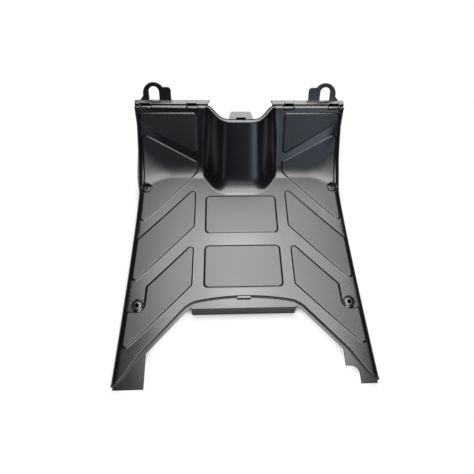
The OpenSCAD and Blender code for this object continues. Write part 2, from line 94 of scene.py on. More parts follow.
# Groove and strip in front of the lip; the strip's inner ends slant towards the bulge
GROOVE_W, GROOVE_H, STRIP_W = 5, 6, 9.5
STRIP_IN_X, STRIP_OUT_X = BULGE_TOP_W / 2 - 2, TOP_W / 2 - 1
STRIP_LAP, SLANT_FROM, SLANT = 2, 1.5, 6
CLIP_W, CLIP_L, CLIP_IN_X, CLIP_OUT_X = 17, 8.5, 87, TOP_W / 2 - 18.5
SLOT_BACK, SOCKET_H, SOCKET_T = 1.5, 10, 1.5

# Tongue in front of the bulge
TONGUE_L, TONGUE_W, TONGUE_END_W = 20, 46, 34
TONGUE_R, TONGUE_DROP, TONGUE_SLOT_Y = 2, 0.6, 2.5

# Hook plates: a loop, a stub on its inner side and a gusset on its outer side
HOOK_X, HOOK_R, HOOK_H, HOOK_T = TOP_W / 2 - 35.5, 19, 30, 4
HOOK_SLOT_W, HOOK_BAND = 18, 6.5
STUB_W, STUB_H, STUB_R = 20.5, 22, 6
GUSSET_W, GUSSET_H = 5.5, 9

RIB_T, RIB_H = 2, 12

# Fineness: the least corner radius, the distance over which slopes are measured and round counts
SHARP_R, STEP = 0.3, 0.5
ROUND_N, HALVINGS = 48, 40
NEAR = 1e-3

side_x = WAIST_W / 2 - ROLL_R
wall_run = WALL_H / math.tan(WALL_SLOPE)
wall_top_y = FOOT_Y + wall_run
groove_y = wall_top_y + LIP_L
strip_y = groove_y + GROOVE_W
front_y = strip_y + STRIP_W
slot_y = groove_y - SLOT_BACK
hook_y = front_y - 1
reach_y = hook_y + HOOK_H * math.cos(WALL_SLOPE) + HOOK_T * math.sin(WALL_SLOPE)
origin_y = (TAIL_Y - reach_y) / 2
lip_w = LIP_L - LIP_R + 1
shelf_z = WALL_H + LIP_R * (1 - math.cos(WALL_SLOPE))
roll_len = ROLL_R * math.pi / 2
rear_screw_y = SCREW_Y - SCREW_DY
pad_in_x = PAD_HALF_W + CHANNEL_W
middle_y = CHEVRON_Y - MIDDLE_GAP
rear_pad_y = middle_y - MIDDLE_L - REAR_GAP


# The skin: the floor, its bend and the wall with the bulge, as a function of x and y

def clamp(v, low, high):
    return max(low, min(high, v))


def half_w(y):
    """Half the width of the board at y."""
    if y < WAIST_Y:
        share = clamp((WAIST_Y - y) / (WAIST_Y + TAIL_Y), 0, 2)
        return WAIST_W / 2 + (REAR_W - WAIST_W) / 2 * share ** REAR_CURVE
    share = (y - WAIST_Y) / (wall_top_y - WAIST_Y)
    return WAIST_W / 2 + (TOP_W - WAIST_W) / 2 * share ** FRONT_CURVE


def spread(y):
    """Everything across the board spreads with its width."""
    return (half_w(y) - ROLL_R) / side_x


def bulge(x, width):
    """How far a bulge of that width stands back at x."""
    s = abs(x) / (width / 2)
    return 0 if s >= 1 else BULGE_D * math.cos(math.pi / 2 * s ** BULGE_SHAPE) ** 2


def corner(x):
    """Share of the corner scoop, from 0 inside CORNER_X to 1 at the side edge."""
    return clamp((abs(x) - CORNER_X) / (side_x - CORNER_X), 0, 1) ** CORNER_CURVE


def middle_bend(x):
    """Share of the wall's run that is curved, without the scoops: more at the bulge's foot."""
    return FOOT_BEND + BULGE_BEND * bulge(x, BULGE_FOOT_W) / BULGE_D


def bend(x):
    """Share of the wall's run that is curved at x."""
    return (FOOT_BEND + (SIDE_BEND - FOOT_BEND) * corner(x)
            + BULGE_BEND * bulge(x, BULGE_FOOT_W) / BULGE_D)


def top_y(x):
    return wall_top_y - bulge(x, BULGE_TOP_W)


def start_y(x):
    """Where the wall begins to rise; the bulge's longer bend leaves the wall above in place."""
    k = middle_bend(x)
    foot, top = FOOT_Y - bulge(x, BULGE_FOOT_W), top_y(x)
    return (foot - top * k / 2) / (1 - k / 2) - SIDE_LEAD * corner(x)


def rise(t, k):
    """Rise at share t of the wall's run: a parabola up to share k, then straight."""
    if t <= 0:
        return 0
    return t * t / (k * (2 - k)) if t < k else (2 * t - k) / (2 - k)


def skin_point(x, y):
    """The top surface between the rolled edges."""
    share = (y - start_y(x)) / (top_y(x) - start_y(x))
    return Vector((x * spread(y), y, WALL_H * rise(share, bend(x))))


def skin_normal(x, y):
    across = skin_point(x + STEP, y) - skin_point(x - STEP, y)
    along = skin_point(x, y + STEP) - skin_point(x, y - STEP)
    return across.cross(along).normalized()


def roll_frame(side, y):
    """Centre of the rolled edge's arc, its outward direction and its normal."""
    p = skin_point(side * side_x, y)
    n = skin_normal(side * (side_x - STEP), y)
    out = p - skin_point(side * (side_x - STEP), y)
    out = (out - n * out.dot(n)).normalized()
    return p - ROLL_R * n, out, n


def surface(x, y, lift=0.0):
    """The skin and, past side_x, the rolled edge, where x counts the way round the roll."""
    if abs(x) <= side_x:
        p = skin_point(x, y)
        return p + skin_normal(x, y) * lift if lift else p
    side = math.copysign(1, x)
    centre, out, n = roll_frame(side, y)
    a = (abs(x) - side_x) / ROLL_R
    return centre + (ROLL_R + lift) * (math.sin(a) * out + math.cos(a) * n)


def unrolled(x, y):
    """Surface coordinate across the board for a plan position at the floor."""
    edge = half_w(y) - ROLL_R
    if abs(x) <= edge:
        return x / spread(y)
    a = math.asin(clamp((abs(x) - edge) / ROLL_R, 0, 1))
    return math.copysign(side_x + ROLL_R * a, x)


def on_skin(path):
    """A path in plan as surface coordinates."""
    return [Vector((unrolled(p.x, p.y), p.y)) for p in path]


# The wall is unfolded so that edges on it keep their true width: s is the length along the surface

plain_start = FOOT_Y - wall_run * FOOT_BEND / (2 - FOOT_BEND)
plain_run = wall_top_y - plain_start
bend_gain = 2 * WALL_H / (plain_run ** 2 * FOOT_BEND * (2 - FOOT_BEND))
bend_end = FOOT_BEND * plain_run
straight = math.hypot(1, bend_gain * bend_end)


def arc_length(u):
    return (u * math.hypot(1, bend_gain * u) + math.asinh(bend_gain * u) / bend_gain) / 2


def unfold(y):
    """Length s along the surface for y."""
    u = y - plain_start
    if u <= 0:
        return y
    if u <= bend_end:
        return plain_start + arc_length(u)
    return plain_start + arc_length(bend_end) + (u - bend_end) * straight


def fold(s):
    """The way back from s to y."""
    if s <= plain_start:
        return s
    rest = s - plain_start - arc_length(bend_end)
    if rest >= 0:
        return plain_start + bend_end + rest / straight
    low, high = 0.0, bend_end
    for _ in range(HALVINGS):
        mid = (low + high) / 2
        if plain_start + arc_length(mid) < s:
            low = mid
        else:
            high = mid
    return plain_start + low


# Flat outlines with rounded corners

NEARLY_STRAIGHT = math.radians(176)
FACET = math.radians(12)
PAD_PITCH, ARCH_PITCH = 3.0, 2.5


def turn(a, b, c):
    """More than 0 where the way from a by b to c turns left."""
    return (b[0] - a[0]) * (c[1] - b[1]) - (b[1] - a[1]) * (c[0] - b[0])


def offset_corners(points, d):
    """Corners of a counter-clockwise outline whose edges are moved outward by d."""
    moved = []
    for i, p in enumerate(points):
        a, b = Vector(points[i - 1]), Vector(points[(i + 1) % len(points)])
        p = Vector(p)
        e1, e2 = (p - a).normalized(), (b - p).normalized()
        n1, n2 = Vector((e1.y, -e1.x)), Vector((e2.y, -e2.x))
        moved.append(p + (n1 + n2) * d / (1 + n1.dot(n2)))
    return moved


def rounded(points, radii, d=0.0, pitch=PAD_PITCH):
    """Outline with its corners rounded, moved outward by d and divided into short lengths."""
    corners = offset_corners(points, d)
    path = []
    for i, p in enumerate(corners):
        a, b = corners[i - 1], corners[(i + 1) % len(corners)]
        u, v = (a - p).normalized(), (b - p).normalized()
        angle = u.angle(v)
        if angle > NEARLY_STRAIGHT:
            path.append(p)
            continue
        sign = 1 if turn(a, p, b) > 0 else -1
        r = max(SHARP_R, radii[i] + sign * d)
        centre = p + (u + v).normalized() * r / math.sin(angle / 2)
        first = p + u * (r / math.tan(angle / 2)) - centre
        sweep = math.pi - angle
        steps = max(2, math.ceil(sweep / FACET))
        for k in range(steps + 1):
            path.append(centre + Matrix.Rotation(sign * sweep * k / steps, 2) @ first)
    divided = []
    for i, p in enumerate(path):
        q = path[(i + 1) % len(path)]
        steps = max(1, round((q - p).length / pitch))
        divided += [p.lerp(q, k / steps) for k in range(steps)]
    return divided


def circle(x, y, r):
    turns = [2 * math.pi * i / ROUND_N for i in range(ROUND_N)]
    return [Vector((x + r * math.cos(a), y + r * math.sin(a))) for a in turns]


def arc(x, y, r, first, last, steps):
    """Points round a circle from one angle to another, in degrees."""
    turns = [math.radians(first + (last - first) * i / steps) for i in range(steps + 1)]
    return [(x + r * math.cos(a), y + r * math.sin(a)) for a in turns]


def rectangle(x0, x1, y0, y1):
    return [(x0, y0), (x1, y0), (x1, y1), (x0, y1)]


def inside(p, outline):
    hit = False
    for i, a in enumerate(outline):
        b = outline[i - 1]
        if (a[1] > p[1]) != (b[1] > p[1]):
            if p[0] < (b[0] - a[0]) * (p[1] - a[1]) / (b[1] - a[1]) + a[0]:
                hit = not hit
    return hit


def mirrored(points):
    return [(-p[0], p[1]) for p in reversed(points)]


# The raised pads, as outlines in surface coordinates (x, s) with a radius for each corner

def slant(x, y):
    """A slanting pad edge that starts at y at its inner end."""
    return y - CHEVRON * (x - pad_in_x)


def centre_pad(front):
    return rectangle(-PAD_HALF_W, PAD_HALF_W, front - PAD_L, front), [PAD_R] * 4


def middle_pad():
    out, low = side_x - FLOOR_SIDE_GAP, middle_y - MIDDLE_L
    points = [(pad_in_x, low), (out, slant(out, low)), (out, slant(out, middle_y)),
              (pad_in_x, middle_y)]
    return points, [SIDE_PAD_R] * 4


def rear_pad():
    """The pad whose front outer corner is cleared for the rear screw."""
    out, low = side_x - FLOOR_SIDE_GAP, rear_pad_y - REAR_PAD_L
    clear_x = unrolled(SCREW_DX / 2 - CLEAR_R, rear_screw_y)
    clear_y = rear_screw_y - CLEAR_R
    points = [(pad_in_x, low), (out, slant(out, low)), (out, clear_y + 2), (clear_x, clear_y),
              (clear_x, slant(clear_x, rear_pad_y)), (pad_in_x, rear_pad_y)]
    return points, [SIDE_PAD_R, SIDE_PAD_R, SCREW_PAD_R, CLEAR_R, SCREW_PAD_R, SIDE_PAD_R]


def wall_quad(low, high):
    """A pad on the wall between two edges given as functions of x."""
    a, b = pad_in_x - WALL_PAD_IN, side_x - WALL_SIDE_GAP
    points = [(a, unfold(low(a))), (b, unfold(low(b))), (b, unfold(high(b))), (a, unfold(high(a)))]
    return points, [END_PAD_R] * 4


def bend_pad():
    return wall_quad(lambda x: slant(x, CHEVRON_Y),
                     lambda x: FOOT_Y + BEND_PAD_Y + BEND_PAD_RISE * (x - pad_in_x))


def wall_pad():
    return wall_quad(lambda x: FOOT_Y + WALL_PAD_Y + WALL_PAD_RISE * (x - pad_in_x),
                     lambda x: wall_top_y - WALL_PAD_GAP)


def all_pads():
    pads = [centre_pad(FRONT_PAD_Y), centre_pad(FRONT_PAD_Y - PAD_L - CENTRE_GAP)]
    for points, radii in (middle_pad(), rear_pad(), bend_pad(), wall_pad()):
        pads.append((points, radii))
        pads.append((mirrored(points), radii[::-1]))
    return pads


# The rear arch, as the outline of the space behind it in plan

# The arch's edge is sorted by the angle at which it is seen from this far behind the rear tips
SEEN_FROM = 40


def crown_y(x):
    return -ARCH_Y - CROWN_SAG * (x / CROWN_X) ** 2


def arch_outline(d=0.0, pitch=ARCH_PITCH):
    side = [(REAR_W / 2 - in_, ahead - TAIL_Y) for in_, ahead in TIPS]
    side += [(KNEE_X, -KNEE_Y), (CROWN_X + 16, crown_y(CROWN_X + 9) - 7)]
    side_r = [SHARP_R, TIP_R, TIP_R, TIP_R, ARCH_R, ARCH_R]
    end = CROWN_X + 3
    crown = [(x, crown_y(x)) for x in range(end, -end - 1, -end // CROWN_STEPS)]
    crown_r = [ARCH_R if abs(x) == end else 1 for x, _ in crown]
    return rounded(side + crown + mirrored(side), side_r + crown_r + side_r[::-1], d, pitch)


def arch_path(d=0.0, back=TAIL_Y):
    """The arch's edge from the right tip round to the left one, no further back than given."""
    path = [p for p in arch_outline(d) if p.y > -back + 0.3]
    path.sort(key=lambda p: math.atan2(p.y + TAIL_Y + SEEN_FROM, p.x))
    edge = REAR_W / 2 - TIPS[0][0] + d
    ends = []
    for p in (path[0], path[-1]):
        x = edge if back == TAIL_Y else min(edge, abs(p.x))
        ends.append(Vector((math.copysign(x, p.x), -back)))
    return [ends[0]] + path + [ends[1]]


# Mesh helpers

def search_tree(points):
    """A tree that finds the nearest of some flat points."""
    tree = kdtree.KDTree(len(points))
    for i, p in enumerate(points):
        tree.insert((p[0], p[1], 0), i)
    tree.balance()
    return tree


class Rim:
    """Outlines that can be asked how far away a point is: less than 0 inside them."""

    def __init__(self, outlines):
        self.points, self.next, self.last = [], [], []
        for outline in outlines:
            first = len(self.points)
            n = len(outline)
            self.points += [Vector(p) for p in outline]
            self.next += [first + (i + 1) % n for i in range(n)]
            self.last += [first + (i - 1) % n for i in range(n)]
        self.tree = search_tree(self.points)

    def distance(self, x, y):
        p = Vector((x, y))
        i = self.tree.find((x, y, 0))[1]
        best = None
        for a, b in ((self.last[i], i), (i, self.next[i])):
            a, b = self.points[a], self.points[b]
            ab = b - a
            t = clamp((p - a).dot(ab) / max(ab.length_squared, 1e-9), 0, 1)
            gap = (p - a - ab * t).length
            outward = ab.x * (p.y - a.y) - ab.y * (p.x - a.x) < 0
            if best is None or gap < abs(best) - 1e-6:
                best = gap if outward else -gap
        return best


def to_row(p):
    """Millimetres about the datum line to the frame's metres."""
    return Vector((p[0] * MM, (p[1] + origin_y) * MM, (p[2] + SKIRT_H) * MM))


def piece(name, verts, faces, material, sharp=35, modifiers=(), texture=None):
    """A piece of the part, in millimetres; texture says how grained its first vertices are."""
    mesh = bpy.data.meshes.new(name)
    mesh.from_pydata([to_row(v) for v in verts], [], faces)
    if texture:
        grain = mesh.attributes.new("grain", "FLOAT", "POINT")
        grain.data.foreach_set("value", texture + [0.0] * (len(verts) - len(texture)))
    mesh.validate()
    mesh.polygons.foreach_set("use_smooth", [True] * len(mesh.polygons))
    mesh.materials.append(material)
    obj = bpy.data.objects.new(name, mesh)
    bpy.context.collection.objects.link(obj)
    for kind, settings in modifiers:
        mod = obj.modifiers.new(kind.title(), kind)
        for key, value in settings.items():
            setattr(mod, key, value)
    mesh.set_sharp_from_angle(angle=math.radians(sharp))
    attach(obj, BODY)
    return obj


def bevel(width):
    return ("BEVEL", {"width": width * MM, "segments": 2, "limit_method": "ANGLE",
                      "angle_limit": math.radians(35), "harden_normals": False})


def triangles(points, edges, keep):
    """Constrained triangles over flat points, those whose middle keep() accepts."""
    flat = [Vector((p[0], p[1])) for p in points]
    verts, _, faces, *_ = geometry.delaunay_2d_cdt(flat, edges, [], 0, 1e-7)
    chosen = []
    for f in faces:
        middle = sum((verts[i] for i in f), Vector((0, 0))) / len(f)
        if keep(middle):
            chosen.append(tuple(f))
    return verts, chosen


def ring_edges(start, count, closed=True):
    edges = [(start + i, start + i + 1) for i in range(count - 1)]
    return edges + [(start + count - 1, start)] if closed else edges


def prism(name, outline, low, high, place=None, holes=(), edge=0.4, warp=None):
    """A flat outline with holes, given thickness from low to high and softened edges."""
    points, edges = [], []
    for loop in (outline, *holes):
        edges += ring_edges(len(points), len(loop))
        points += [tuple(p) for p in loop]

    def filled(m):
        return inside(m, outline) and not any(inside(m, hole) for hole in holes)

    flat, top = triangles(points, edges, filled)
    n = len(flat)
    sides = dict.fromkeys(pair for f in top for pair in zip(f, f[1:] + f[:1]))
    faces = top + [tuple(n + i for i in reversed(f)) for f in top]
    faces += [(b, a, a + n, b + n) for a, b in sides if (b, a) not in sides]
    place = place or Matrix()
    verts = [place @ Vector((p.x, p.y, z)) for z in (high, low) for p in flat]
    if warp:
        verts = [warp(v) for v in verts]
    return piece(name, verts, faces, smooth_black, modifiers=[bevel(edge)] if edge else [])


def lathe(name, profile, x, y, material):
    """A profile of (radius, height) turned about a screw's axis."""
    verts, faces = [], []
    for r, z in profile:
        verts += [(p.x, p.y, z) for p in circle(x, y, r)]
    for k in range(len(profile) - 1):
        a, b = k * ROUND_N, (k + 1) * ROUND_N
        for i in range(ROUND_N):
            j = (i + 1) % ROUND_N
            faces.append((a + i, a + j, b + j, b + i))
    return piece(name, verts, faces, material)


# Materials

CHARCOAL, CHARCOAL_LIGHT = (0.0022, 0.0024, 0.0030, 1), (0.0032, 0.0034, 0.0042, 1)
CLOUD_SCALE, CLOUD_DETAIL = 9, 4
GRAIN_SCALE, GRAIN_DETAIL, GRAIN_DEPTH = 1400, 3, 0.0002
SMOOTH_GRAIN = 0.12
GLOSS, GLOSS_SPREAD = 0.21, (-0.02, 0.03)
PAD_ROUGHNESS = 0.34
SPECULAR = 0.55


def black_plastic(name, bumps, pads=None):
    """Charcoal plastic whose gloss changes slowly; pads is the roughness of its grained parts."""
    mat = bpy.data.materials.new(name)
    mat.use_nodes = True
    nodes, links = mat.node_tree.nodes, mat.node_tree.links
    shader = nodes["Principled BSDF"]
    shader.inputs["Specular IOR Level"].default_value = SPECULAR
    where = nodes.new("ShaderNodeTexCoord")

    def noise(scale, detail):
        node = nodes.new("ShaderNodeTexNoise")
        node.inputs["Scale"].default_value = scale
        node.inputs["Detail"].default_value = detail
        links.new(where.outputs["Object"], node.inputs["Vector"])
        return node.outputs["Fac"]

    def spread_over(value, low, high, from_low=0.3, from_high=0.7):
        node = nodes.new("ShaderNodeMapRange")
        links.new(value, node.inputs["Value"])
        for key, number in (("From Min", from_low), ("From Max", from_high),
                            ("To Min", low), ("To Max", high)):
            node.inputs[key].default_value = number
        return node.outputs["Result"]

    def combine(operation, a, b):
        node = nodes.new("ShaderNodeMath")
        node.operation = operation
        links.new(a, node.inputs[0])
        links.new(b, node.inputs[1])
        return node.outputs["Value"]

    clouds = noise(CLOUD_SCALE, CLOUD_DETAIL)
    rough = spread_over(clouds, *(GLOSS + change for change in GLOSS_SPREAD))
    height = noise(GRAIN_SCALE, GRAIN_DETAIL)
    if pads:
        grain = nodes.new("ShaderNodeAttribute")
        grain.attribute_name = "grain"
        share = grain.outputs["Fac"]
        rough = combine("ADD", rough, spread_over(share, 0, pads - GLOSS, 0, 1))
        height = combine("MULTIPLY", height, spread_over(share, SMOOTH_GRAIN, 1, 0, 1))
    tone = nodes.new("ShaderNodeValToRGB")
    dark, light = tone.color_ramp.elements
    dark.position, dark.color = 0.3, CHARCOAL
    light.position, light.color = 0.7, CHARCOAL_LIGHT
    bump = nodes.new("ShaderNodeBump")
    bump.inputs["Strength"].default_value = bumps
    bump.inputs["Distance"].default_value = GRAIN_DEPTH
    links.new(clouds, tone.inputs["Fac"])
    links.new(rough, shader.inputs["Roughness"])
    links.new(tone.outputs["Color"], shader.inputs["Base Color"])
    links.new(height, bump.inputs["Height"])
    links.new(bump.outputs["Normal"], shader.inputs["Normal"])
    return mat


grained_black = black_plastic("grained_black_plastic", 0.16, PAD_ROUGHNESS)
smooth_black = black_plastic("smooth_black_plastic", 0.02)


# The shell: a mesh over the surface coordinates, finer where it bends and along every edge

# Lines at these distances round the pads and along the arch shape their soft edges
PAD_STEPS = (-2.4, -1.7, -1.15, -0.6, 0.0, 0.6, 1.15, 1.7, 2.4)
ARCH_STEPS = (0.15, 0.5, 0.9, 1.3, 1.6, 2.2)
EDGE_W, ARCH_FILLET, SCREW_EDGE = 3.4, 1.3, 0.7
FINE_PAD_PITCH, FINE_ARCH_PITCH = 0.8, 0.6
LINE_GAP = 0.9

# Pads on the wall are this share flatter, reached so far in front of its foot
WALL_FLATTER, FLATTER_RUN = 0.35, 20

# Columns of points from the centre line out: where each stretch ends and how many it holds
COLUMNS = ((33, 10), (72, 27), (CORNER_X, 14), (side_x, 22), (side_x + roll_len, 10))
FLOOR_ROWS, WALL_ROWS, WALL_GATHER = 46, 34, 1.25
SKIRT_ROWS, SCREW_ROWS = 9, 4

# Rows of the lip: the share of its roll, how far out it lies past that, and its edge's drop
LIP_ROWS = ([((k + 1) / 6, 0, 0) for k in range(6)] + [(1, out, 0) for out in (0.25, 0.5, 0.85)]
            + [(1, 1, LIP_EDGE)])

screws = [(side * SCREW_DX / 2, y) for side in (-1, 1) for y in (SCREW_Y, rear_screw_y)]
hole_r = RECESS_D / 2 + SCREW_EDGE
screw_holes = [on_skin(circle(x, y, hole_r)) for x, y in screws]


def spaced(a, b, n):
    return [a + (b - a) * i / n for i in range(n)]


def column_xs():
    half, at = [], 0
    for end, count in COLUMNS:
        half += spaced(at, end, count)
        at = end
    half.append(at)
    return [-x for x in reversed(half[1:])] + half


def row_ys(x):
    """Rows of points up one column: over the floor, round the bend and up the wall."""
    x = clamp(x, -side_x, side_x)
    first, last = start_y(x), top_y(x)
    wall = [first + (last - first) * (i / WALL_ROWS) ** WALL_GATHER for i in range(WALL_ROWS)]
    return spaced(-TAIL_Y, first, FLOOR_ROWS) + wall + [last]


def slot_ends():
    """Pairs of stations just outside and just inside each end of the clip slots."""
    return [side * (x + end * (CLIP_W / 2 + near))
            for side in (-1, 1) for x in (CLIP_IN_X, CLIP_OUT_X)
            for end in (-1, 1) for near in (0.1, -0.1)]


def in_slot(x):
    return min(abs(abs(x) - CLIP_IN_X), abs(abs(x) - CLIP_OUT_X)) < CLIP_W / 2


def shell_lines(pads):
    """Points and edges that the mesh follows: along the pads, the arch and the screw holes."""
    points, edges = [], []

    def add(loop, closed=True):
        edges.extend(ring_edges(len(points), len(loop), closed))
        points.extend((p[0], p[1]) for p in loop)

    for outline, radii in pads:
        for d in PAD_STEPS:
            add(rounded(outline, radii, d))
    add(on_skin(arch_path()), closed=False)
    for d in ARCH_STEPS:
        path = [p for p in arch_path(d) if abs(p.x) < half_w(p.y) - 1.5]
        add(on_skin(path), closed=False)
    for hole in screw_holes:
        add(hole)
    return points, edges


def shell_grid(lines):
    """Points between the lines, and all round the rim."""
    tree = search_tree(lines)
    xs = column_xs()
    points = []
    for i, x in enumerate(xs):
        rows = row_ys(x)
        for j, y in enumerate(rows):
            s = unfold(y)
            on_rim = i in (0, len(xs) - 1) or j in (0, len(rows) - 1)
            if on_rim or tree.find((x, s, 0))[2] > LINE_GAP:
                points.append((x, s))
    return points + [(x, unfold(top_y(x))) for x in slot_ends()]


def arch_round(v, rim):
    """How far the round along the arch's edge lowers a point."""
    inward = ARCH_FILLET - max(rim.distance(v.x, v.y), 0)
    if inward <= 0:
        return 0
    return ARCH_FILLET - math.sqrt(max(ARCH_FILLET ** 2 - inward ** 2, 0))


def top_surface():
    """The shell's top: flat points, vertices, faces and how grained each vertex is."""
    pads = all_pads()
    arch_area = [Vector((unrolled(p.x, p.y) if p.y > -TAIL_Y else p.x, p.y))
                 for p in arch_outline()]

    def keep(m):
        if m.y < 1 - ARCH_Y and inside(m, arch_area):
            return False
        if any(inside(m, hole) for hole in screw_holes):
            return False
        return m.y < unfold(top_y(clamp(m.x, -side_x, side_x))) + 0.02

    lines, edges = shell_lines(pads)
    flat, faces = triangles(lines + shell_grid(lines), edges, keep)
    pad_rim = Rim([rounded(points, radii, 0, FINE_PAD_PITCH) for points, radii in pads])
    arch_rim = Rim([arch_outline(0, FINE_ARCH_PITCH)])
    verts, grained = [], []
    for p in flat:
        y = fold(p.y)
        share = clamp(0.5 - pad_rim.distance(p.x, p.y) / EDGE_W, 0, 1)
        flatter = 1 - WALL_FLATTER * clamp((y - FOOT_Y) / FLATTER_RUN, 0, 1)
        v = surface(p.x, y, PAD_H * flatter * share * share * (3 - 2 * share))
        if y < 6 - ARCH_Y:
            v.z -= arch_round(v, arch_rim)
        verts.append(v)
        grained.append(share)
    return flat, verts, faces, grained


def add_row(verts, row, closed=False):
    """Adds a row of vertices and gives their numbers."""
    numbers = list(range(len(verts), len(verts) + len(row)))
    verts += row
    return numbers + numbers[:1] if closed else numbers


def add_strip(faces, rows):
    """Joins rows of vertex numbers with faces, each row as long as the first."""
    for a, b in zip(rows, rows[1:]):
        for i in range(len(a) - 1):
            faces.append((a[i], a[i + 1], b[i + 1], b[i]))


def skirt_depth(z):
    """Depth of the skirt below the roll where the floor or wall is at z."""
    return SKIRT_H + (SKIRT_TOP - SKIRT_H) * clamp(z / WALL_H, 0, 1) - ROLL_R


def add_skirts(flat, verts, faces):
    """The side skirts hang from the rolled edges."""
    for side in (-1, 1):
        rim = [i for i, p in enumerate(flat) if side * p.x > side_x + roll_len - NEAR]
        rim.sort(key=lambda i: flat[i].y)
        lines = []
        for i in rim:
            y = fold(flat[i].y)
            centre, out, n = roll_frame(side, y)
            lines.append((centre + ROLL_R * out, n, skirt_depth(skin_point(side * side_x, y).z)))
        rows = [rim]
        for k in range(1, SKIRT_ROWS + 1):
            rows.append(add_row(verts, [top - n * depth * k / SKIRT_ROWS
                                        for top, n, depth in lines]))
        add_strip(faces, rows if side < 0 else [r[::-1] for r in rows])


def add_lip(flat, verts, faces):
    """The wall's top edge is rolled forward to a narrow lip, cut back at the clip slots."""
    rim = [i for i, p in enumerate(flat)
           if abs(p.x) < side_x + NEAR and abs(p.y - unfold(top_y(p.x))) < 10 * NEAR]
    rim.sort(key=lambda i: flat[i].x)
    lines = []
    for i in rim:
        x, y = flat[i].x, fold(flat[i].y)
        n = skin_normal(x, y - 1)
        m = -Vector((n.x, n.y)).normalized()
        if in_slot(x):
            m *= (slot_y - wall_top_y) / (LIP_R * math.sin(WALL_SLOPE) + lip_w)
        lines.append((verts[i], m, math.acos(clamp(n.z, -1, 1))))
    rows = [rim]
    for turned, out, edge in LIP_ROWS:
        row = []
        for q, m, a in lines:
            left = a * (1 - turned)
            u = LIP_R * (math.sin(a) - math.sin(left)) + lip_w * out
            z = LIP_R * (math.cos(left) - math.cos(a)) - LIP_FALL * out - edge
            row.append(Vector((q.x + m.x * u, q.y + m.y * u, q.z + z)))
        rows.append(add_row(verts, row))
    add_strip(faces, [r[::-1] for r in rows])


def add_screw_rims(flat, verts, faces):
    """A small round runs into each counterbore."""
    tree = search_tree(flat)
    for hole in screw_holes:
        ring = [tree.find((p.x, p.y, 0))[1] for p in hole]
        middle = sum((verts[i] for i in ring), Vector()) / len(ring)
        rows = [ring + ring[:1]]
        for k in range(1, SCREW_ROWS + 1):
            a = math.pi / 2 * k / SCREW_ROWS
            down = Vector((0, 0, SCREW_EDGE * (1 - math.cos(a))))
            row = []
            for i in ring:
                v = verts[i]
                inward = Vector((middle.x - v.x, middle.y - v.y, 0)).normalized()
                row.append(v + inward * SCREW_EDGE * math.sin(a) - down)
            rows.append(add_row(verts, row, closed=True))
        row = [Vector((v.x, v.y, -RECESS_H)) for v in row]
        rows.append(add_row(verts, row, closed=True))
        add_strip(faces, [r[::-1] for r in rows])


def shell():
    flat, verts, faces, grained = top_surface()
    add_skirts(flat, verts, faces)
    add_lip(flat, verts, faces)
    add_screw_rims(flat, verts, faces)
    solid = ("SOLIDIFY", {"thickness": WALL_T * MM, "offset": -1, "use_even_offset": False})
    obj = piece("floor_shell", verts, faces, grained_black, sharp=50, modifiers=[solid],
                texture=grained)
    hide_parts(NODE)


# Fittings on and under the shell; where the tops of the ledges would coincide, one lies LAYER
# lower

LAYER = 0.015
SOFT_EDGE = 0.35


def screw_seat(x, y):
    """Floor of a counterbore, the ring for the washer, the hole and the boss below."""
    bore, ring, well, boss = SCREW_D / 2, RING_D / 2, RECESS_D / 2, RECESS_D / 2 + WALL_T
    inner, rim = ring - RING_T, well + 0.6
    floor, seat = -RECESS_H, -RECESS_H - WALL_T - 1
    soft, round_ = SOFT_EDGE, SOFT_EDGE * 0.3
    profile = [
        (boss, -WALL_T), (boss, -BOSS_H + soft), (boss - soft, -BOSS_H),
        (inner + soft, -BOSS_H), (inner, -BOSS_H + soft), (inner, seat),
        (bore, seat), (bore, -RING_DROP - soft), (bore + soft, -RING_DROP),
        (ring - soft, -RING_DROP), (ring - round_, -RING_DROP - round_), (ring, -RING_DROP - soft),
        (ring, soft + floor), (ring + soft, floor), (well - soft, floor),
        (well - round_, round_ + floor), (well + 0.05, soft + floor), (rim, floor),
        (rim, floor - 1)]
    lathe("screw_seat", profile, x, y, grained_black)


def limited(p):
    """A plan point kept inside the skirts."""
    edge = half_w(p.y) - WALL_T / 2
    return Vector((clamp(p.x, -edge, edge), p.y))


def arch_band(outer, inner, back):
    """The strip between two offsets of the arch's edge."""
    far = [limited(p) for p in arch_path(outer, back)]
    near = [limited(p) for p in arch_path(inner, back)]
    return far + near[::-1]


def arch_fittings():
    """The step below the arch's edge, its ledges, the crown's flange and the tab."""
    ledge_low = -LEDGE_DROP - WALL_T
    prism("arch_step", arch_band(WALL_T, 0.0, TAIL_Y), ledge_low, -WALL_T * 0.6, edge=0)
    band = arch_band(WALL_T / 2, -LEDGE_W, TAIL_Y - LEG_L + LEDGE_LAP)
    prism("arch_ledge", band, ledge_low, -LEDGE_DROP - 2 * LAYER)
    back = -ARCH_Y - CROWN_L
    front = [p for p in arch_path(WALL_T / 2) if abs(p.x) < CROWN_HALF_W - 1]
    front.sort(key=lambda p: -p.x)
    shelf = [Vector((-CROWN_HALF_W, back)), Vector((CROWN_HALF_W, back))] + front
    prism("crown_ledge", shelf, ledge_low, -LEDGE_DROP)
    low = SKIRT_H - LEDGE_DROP
    across = Matrix(((0, 0, 1, 0), (1, 0, 0, back), (0, 1, 0, -LEDGE_DROP), (0, 0, 0, 1)))
    section = [(0, -0.2), (-FLANGE_LEAN, -low), (WALL_T - FLANGE_LEAN, -low), (WALL_T, -0.2)]
    prism("crown_flange", section, -CROWN_HALF_W, CROWN_HALF_W, across)
    tab = rectangle(-TAB_W / 2, TAB_W / 2, -ARCH_Y - TAB_L, WALL_T - ARCH_Y)
    prism("crown_tab", tab, -TAB_DROP - WALL_T, -TAB_DROP)


